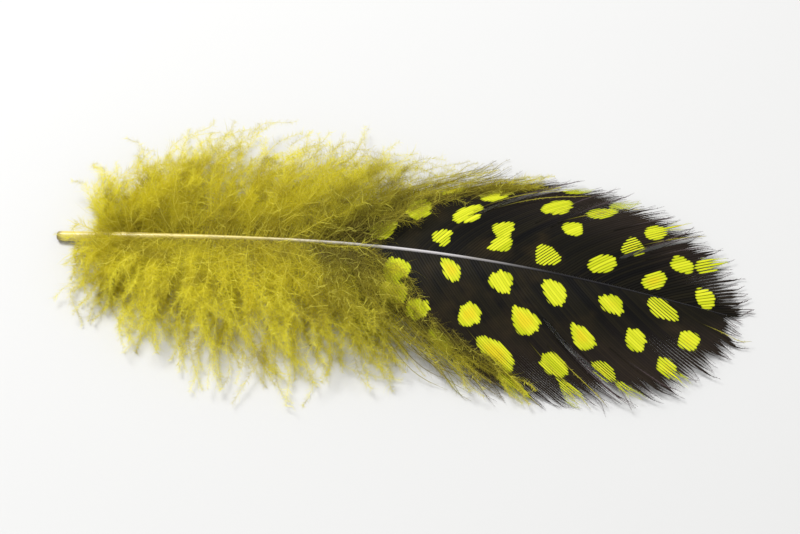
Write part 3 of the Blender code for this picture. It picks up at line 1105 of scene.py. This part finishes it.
# %% Lock plan
DOWN_START = 9.5 * MM
DOWN_END = 43.5 * MM
LOCK_RINGS = 5
LOCK_ROOT = 0.12
LOCK_FULLNESS = 0.7
LOCK_TURN = math.radians(24)
LOCK_SWAY = math.radians(14)
LOCK_STRAY = math.radians(6)
SHORTEST_SHARE = 0.56
REACH_SWELL = 0.75 * math.pi
REACH_RANGE = (0.86, 1.0)
SIZE_RANGE = (0.88, 1.12)
ANGLE_EASE = 0.8
UPPER_DOWN = {
    "name": "upper",
    "count": 13,
    "reach": 25.8 * MM,
    "width": 5.2 * MM,
    "thickness": 2.3 * MM,
    "angles": (math.radians(106), math.radians(58)),
    "loft": 3.4 * MM,
    "tip_height": 2.0 * MM,
    "fall": 1.4,
    "seed": 121,
}
LOWER_DOWN = {
    "name": "lower",
    "count": 12,
    "reach": 25.0 * MM,
    "width": 5.4 * MM,
    "thickness": 1.9 * MM,
    "angles": (math.radians(114), math.radians(64)),
    "loft": 0.0,
    "tip_height": 0.5 * MM,
    "fall": 4.0,
    "seed": 122,
}
LOCK_SEED = 7


def plan_locks():
    """The solid's own locks, as dicts, in the order in which their chances were drawn."""
    chance = random.Random(LOCK_SEED)
    locks = []
    for layer in (UPPER_DOWN, LOWER_DOWN):
        for side in (1, -1):
            for index in range(layer["count"]):
                share = index / (layer["count"] - 1)
                first, last = layer["angles"]
                reach = SHORTEST_SHARE + (1 - SHORTEST_SHARE) * math.sin(REACH_SWELL * share)
                reach *= layer["reach"] * chance.uniform(*REACH_RANGE)
                angle = first + (last - first) * share**ANGLE_EASE + chance.uniform(-LOCK_STRAY, LOCK_STRAY)
                sway = chance.uniform(-LOCK_SWAY, LOCK_SWAY)
                size = chance.uniform(*SIZE_RANGE)
                along = DOWN_START + (DOWN_END - DOWN_START) * share
                locks.append(
                    dict(layer=layer, side=side, along=along, reach=reach, angle=angle, sway=sway, size=size)
                )
    return locks


locks = plan_locks()
print("locks of down:", len(locks))

# %% Middle line of a lock
ROD_STATIONS = 22
LINE_REACH = 1.15  # rods may run a little past the end of their lock
LINE_STATIONS = 116
rod_shares = np.linspace(0, 1, ROD_STATIONS)


def lock_line(lock, shares, stray=0.0):
    """The middle of a lock at these shares of its reach, with y as the distance out. A rod may stray."""
    fine = np.linspace(0, LINE_REACH, LINE_STATIONS)
    before = np.clip(fine - 0.5 / LOCK_RINGS, 0, 1)
    slant = lock["angle"] + stray - LOCK_TURN * before + lock["sway"] * np.sin(math.pi * before)
    step = lock["reach"] * (fine[1] - fine[0])
    x = np.concatenate([[0], np.cumsum(np.cos(slant[:-1]))]) * step
    out = np.concatenate([[0], np.cumsum(np.sin(slant[:-1]))]) * step
    layer, root = lock["layer"], float(shaft_height(lock["along"]))
    left = np.clip(1 - fine, 0, 1)
    height = layer["tip_height"] + (root - layer["tip_height"]) * left ** layer["fall"]
    height += layer["loft"] * np.sin(math.pi * np.clip(fine, 0, 1))
    x += lock["along"] - LENGTH / 2
    return np.stack([np.interp(shares, fine, line) for line in (x, out, height)], axis=-1)


def two_waves(rng, fewest, most):
    """Phases along a rod of two slow waves, each with a length and a start of its own."""
    waves, starts = rng.uniform(fewest, most, 2), rng.uniform(0, 2 * math.pi, 2)
    return 2 * math.pi * waves[:, None] * rod_shares + starts[:, None]


print("stations on a rod:", ROD_STATIONS)

# %% [markdown]
# A rod starts from the middle line of its lock, turned by a stray angle, and moves to its own place beside
# and above that line. The first lock has no neighbour on one side to hold it, so its rods stray further.

# %% Rods of a lock
RODS = 12
STRAY = math.radians(8)
WILD_STRAY = math.radians(23)
WILD_SHARE = 0.20
UNHELD_UP_TO = 6 * MM
ROD_SPREAD = 0.60
END_WANDER = 1.2 * MM
DOWN_CLEARANCE = 0.05 * MM


def lock_rods(lock, rng):
    """Paths of a lock's rods. They spread to the lock's width and thickness and wave as they go."""
    layer = lock["layer"]
    pitch = (DOWN_END - DOWN_START) / (layer["count"] - 1)
    unheld = float(1 - smooth_step((lock["along"] - DOWN_START) / UNHELD_UP_TO))
    swell = np.sin(math.pi * (LOCK_ROOT + (0.94 - LOCK_ROOT) * rod_shares)) ** LOCK_FULLNESS
    paths = []
    for k in range(RODS):
        place = 2 * (k + 0.5) / RODS - 1 + rng.uniform(-0.08, 0.08)
        reach = rng.uniform(0.62 - 0.15 * unheld, 1.08)
        stray = rng.normal(0, STRAY * (1 + 0.8 * unheld))
        if rng.uniform() < WILD_SHARE + 0.25 * unheld:
            stray += rng.choice([-1, 1]) * WILD_STRAY
        line = lock_line(lock, rod_shares * reach, stray)
        across, over = own_axes(unit(np.gradient(line, axis=0)))
        beside = place * layer["width"] * lock["size"] * ROD_SPREAD * swell
        above = rng.uniform(-0.5, 0.5) * layer["thickness"] * lock["size"] * swell
        phases = two_waves(rng, 0.8, 2.3)
        beside += rng.uniform(0.5, 2.1) * MM * rod_shares**0.8 * np.sin(phases[0])
        above += rng.uniform(0.2, 1.0) * MM * rod_shares * np.sin(phases[1])
        beside += rng.normal(0, END_WANDER) * rod_shares**3
        path = line + across * beside[:, None] + over * above[:, None]
        near_root = (1 - rod_shares) ** 2
        path[:, 0] += near_root * (place * pitch / 2 - beside[0] * across[0, 0])
        path[:, 1] -= near_root * beside[0] * across[0, 1]
        path[:, 2] -= near_root * above[0]
        path[:, 2] = np.maximum(path[:, 2], DOWN_CLEARANCE * 2)
        paths.append(path)
    return np.array(paths)


print("rods of down:", RODS * len(locks))

# %% [markdown]
# There is no line where down stops and web begins. The first barbs of the vane are zipped near the shaft and
# downy further out, and the downy part gets shorter from barb to barb. So beside the blades of those barbs,
# some more rods rise out of the web, wave over it and join the upper down.

# %% Half-downy barbs
HALF_DOWNY_RODS = 22


def half_downy_rods(side, rng):
    """Paths of the downy parts of the first barbs of the vane, with y as the distance out."""
    paths = []
    for ahead in np.linspace(0, 1, HALF_DOWNY_RODS):
        number = int(np.searchsorted(roots, VANE_START + HALF_DOWNY_UP_TO * ahead))
        start = 0.04 + 0.55 * ahead + rng.uniform(-0.03, 0.12)
        kept = start + (rng.uniform(0.80, 1.00) - start) * rod_shares
        path = part_of(vane_paths[side][0][number], kept)
        across, over = own_axes(unit(np.gradient(path, axis=0)))
        phases = two_waves(rng, 0.6, 1.6)
        wander = rng.uniform(0.3, 1.1) * np.sin(phases[0]) + rng.normal(0, 1.2) * rod_shares
        beside = rod_shares * MM * wander
        above = rod_shares**0.7 * MM * (rng.uniform(0.3, 1.1) + 0.25 * np.sin(phases[1]))
        path += across * beside[:, None] + over * above[:, None]
        paths.append(path)
    return np.array(paths)


print("half-downy rods on each side:", HALF_DOWNY_RODS)

# %% [markdown]
# Down is dyed more deeply than it looks: light goes through each hair and comes out between them, so a mass
# of it glows. A shader that lets a part of the light through does the same. The colour runs from a brownish
# olive at the roots to lemon at the tips, with darker patches and flecks here and there that are painted
# shade of the gaps between locks, pale wisps where barbules cling together, and a browner colour next to the
# vane.

# %% Down finish
DEEP_YELLOW = (0.62, 0.53, 0.012)
CLEAR_YELLOW = (0.84, 0.77, 0.035)
LEMON_END = (0.90, 0.85, 0.09)
OLIVE_ROOT = (0.34, 0.27, 0.010)
# painted shade of the gaps between locks, laid as noise patches and finer flecks
PAINTED_SHADE_PATCH = (0.40, 0.32, 0.012)
PAINTED_SHADE_FLECK = (0.24, 0.18, 0.014)
SHADE_BROWN = (0.12, 0.088, 0.010)
PALE_BARBULE = (0.92, 0.87, 0.10)
PALE_ROD = (0.93, 0.87, 0.13)
LIGHT_THROUGH = 0.38

down_finish, tree, shader = new_finish("yellow down", 0.75)
along = reading(tree, "along")
down_layers = (
    (reading(tree, "tone"), 0.0, 1.0, 1, CLEAR_YELLOW),
    (along, 0.50, 1.0, 0.6, LEMON_END),
    (along, 0.40, 0.0, 0.65, OLIVE_ROOT),
    # painted shade: darker noise patches and flecks in place of the gaps between locks
    (noise(tree, 150, 3), 0.46, 0.68, 0.65, PAINTED_SHADE_PATCH),
    (noise(tree, 480, 2), 0.54, 0.68, 0.60, PAINTED_SHADE_FLECK),
    (reading(tree, "shade"), 0, 1, 1, SHADE_BROWN),
    (reading(tree, "outward"), 0.3, 1.0, 0.25, PALE_BARBULE),
)
body = colour_mix(tree, reading(tree, "rod"), lay_over(tree, DEEP_YELLOW, down_layers), PALE_ROD)
feed(tree, shader.inputs["Base Color"], body)
set_sockets(shader, {"Sheen Weight": 0.12, "Specular IOR Level": 0.20})
through = tree.nodes.new("ShaderNodeBsdfTranslucent")
both = tree.nodes.new("ShaderNodeMixShader")
feed(tree, through.inputs["Color"], body)
both.inputs["Fac"].default_value = LIGHT_THROUGH
tree.links.new(shader.outputs["BSDF"], both.inputs[1])
tree.links.new(through.outputs["BSDF"], both.inputs[2])
tree.links.new(both.outputs["Shader"], tree.nodes["Material Output"].inputs["Surface"])
print("finish:", down_finish.name)

# %% [markdown]
# The rods are swept with only three corners, since their barbules hide them. Each lock has a tone of its own,
# and each rod differs a little from it.

# %% Rods as strands
ROD_HALF = 0.045 * MM
ROD_TAPER = 0.65
ROD_CORNERS = 3
DARKER_FROM = 30 * MM  # along the shaft
DARKER_WITHIN = 14 * MM
HALF_DOWNY_SHADE = 0.9


def down_rods(layer, side, rng):
    """Paths of a piece's rods, which of them are half downy, how near the vane each is, and its tone."""
    own = [lock for lock in locks if lock["layer"] is layer and lock["side"] == side]
    groups = [lock_rods(lock, rng) for lock in own]
    nearness = [float(smooth_step((lock["along"] - DARKER_FROM) / DARKER_WITHIN)) for lock in own]
    if layer is UPPER_DOWN:
        groups.append(half_downy_rods(side, rng))
        nearness.append(HALF_DOWNY_SHADE)
    counts = [len(group) for group in groups]
    paths = np.concatenate(groups)
    half_downy = np.arange(len(paths)) >= RODS * len(own)
    group_tone = np.repeat(rng.uniform(0.2, 0.8, len(groups)), counts)
    tone = np.clip(group_tone + rng.uniform(-0.22, 0.22, len(paths)), 0, 1)
    return paths, half_downy, np.repeat(nearness, counts), tone


def down_stems(paths, near_vane, whole):
    """The swept rods with their readings."""
    taper = ROD_HALF * (1 - ROD_TAPER * rod_shares)
    corner = 2 * math.pi * np.arange(ROD_CORNERS) / ROD_CORNERS
    sections = np.stack([taper[:, None] * np.cos(corner), taper[:, None] * np.sin(corner)], axis=-1)[None]
    points, quads, places = sweep(paths, sections)
    readings = {key: np.repeat(value[..., None], ROD_CORNERS, axis=-1) for key, value in whole.items()}
    readings["outward"] = np.zeros(points.shape[:3])
    readings["rod"] = np.broadcast_to(0.65 * (1 - near_vane[:, None, None] * 0.6), points.shape[:3])
    return points, quads, on_rows(places, (0.04, 0.24)), readings


print("corners of a rod's section:", ROD_CORNERS)

# %% [markdown]
# Three hundred and twenty barbules on each rod make it a plume. Most are short, a few are twice as long, and
# some cling together as a wider and paler wisp. They point every way and bend every way, because down has no
# hooks to keep order.

# %% Barbules of the down
ROD_BARBULES = 320
BARBULE_LENGTH = 2.2 * MM
BARBULE_WIDTH = 0.030 * MM
LONG_SHARE = 0.03
LONG_FACTOR = 2.1
WISP_SHARE = 0.026
WISP_FACTOR = 1.3
WISP_WIDTHS = (1.6, 3.2)
HALF_DOWNY_BARBULE = 0.62  # length, as a share of a barbule's of the down
FUZZ_MAP_WIDTH = 0.0006


def down_fuzz(paths, half_downy, whole, rng):
    size = (len(paths), ROD_BARBULES)
    steps = (np.arange(ROD_BARBULES) + 0.5) / ROD_BARBULES
    growing_at = np.clip(steps + rng.uniform(-0.4, 0.4, size) / ROD_BARBULES, 0.004, 0.992)
    hands = both_hands(size)
    turns = hands * np.radians(rng.uniform(22, 88, size))
    tilts = np.radians(rng.normal(10, 40, size))
    wisp = rng.uniform(0, 1, size) < WISP_SHARE
    lengths = BARBULE_LENGTH * rng.uniform(0.55, 1.25, size) * (0.4 + 0.6 * smooth_step(growing_at / 0.14))
    long = rng.uniform(0, 1, size) < LONG_SHARE
    lengths *= (1 - 0.68 * growing_at**1.6) * np.where(long, LONG_FACTOR, 1)
    lengths *= np.where(wisp, WISP_FACTOR, 1) * np.where(half_downy, HALF_DOWNY_BARBULE, 1)[:, None]
    blade_widths = BARBULE_WIDTH * np.where(wisp, rng.uniform(*WISP_WIDTHS, size), 1)
    limpness, lift = rng.uniform(-0.6, 1.4, size), rng.normal(0, 0.6, size)
    grown = barbules(paths, growing_at, turns, tilts, lengths, blade_widths, limpness, lift)
    readings = {key: read_at(value, growing_at) for key, value in whole.items()}
    readings["outward"] = np.broadcast_to(np.array([0, 0, 0.5, 0.5, 1.0]), (*size, 5))
    readings["rod"] = np.repeat(np.where(wisp, 0.7, 0.0)[..., None], 5, axis=-1)
    widths = np.full(size, FUZZ_MAP_WIDTH)
    return barbule_batches(grown, growing_at, hands, widths, ((0.30, 0.62), (0.66, 0.98)), readings)


print("barbules on a rod:", ROD_BARBULES)


# %% Down pieces
def down_piece(layer, side, name):
    rng = np.random.default_rng(layer["seed"] + side)
    paths, half_downy, near_vane, tone = down_rods(layer, side, rng)
    whole = {
        "along": np.repeat(rod_shares[None], len(paths), axis=0),
        "tone": np.repeat(tone[:, None], ROD_STATIONS, axis=1),
        "shade": near_vane[:, None] * (1 - 0.75 * rod_shares[None]),
    }
    batches = [down_stems(paths, near_vane, whole), *down_fuzz(paths, half_downy, whole, rng)]
    for batch in batches:
        batch[0][..., 2] = np.maximum(batch[0][..., 2], DOWN_CLEARANCE)
    return make_piece(name, batches, down_finish, side)


for layer in (UPPER_DOWN, LOWER_DOWN):
    for side, hand in ((1, "left"), (-1, "right")):
        name = f"{layer['name']}_down_{hand}"
        totals[name] = down_piece(layer, side, name)
print("triangles in all:", sum(totals.values()))
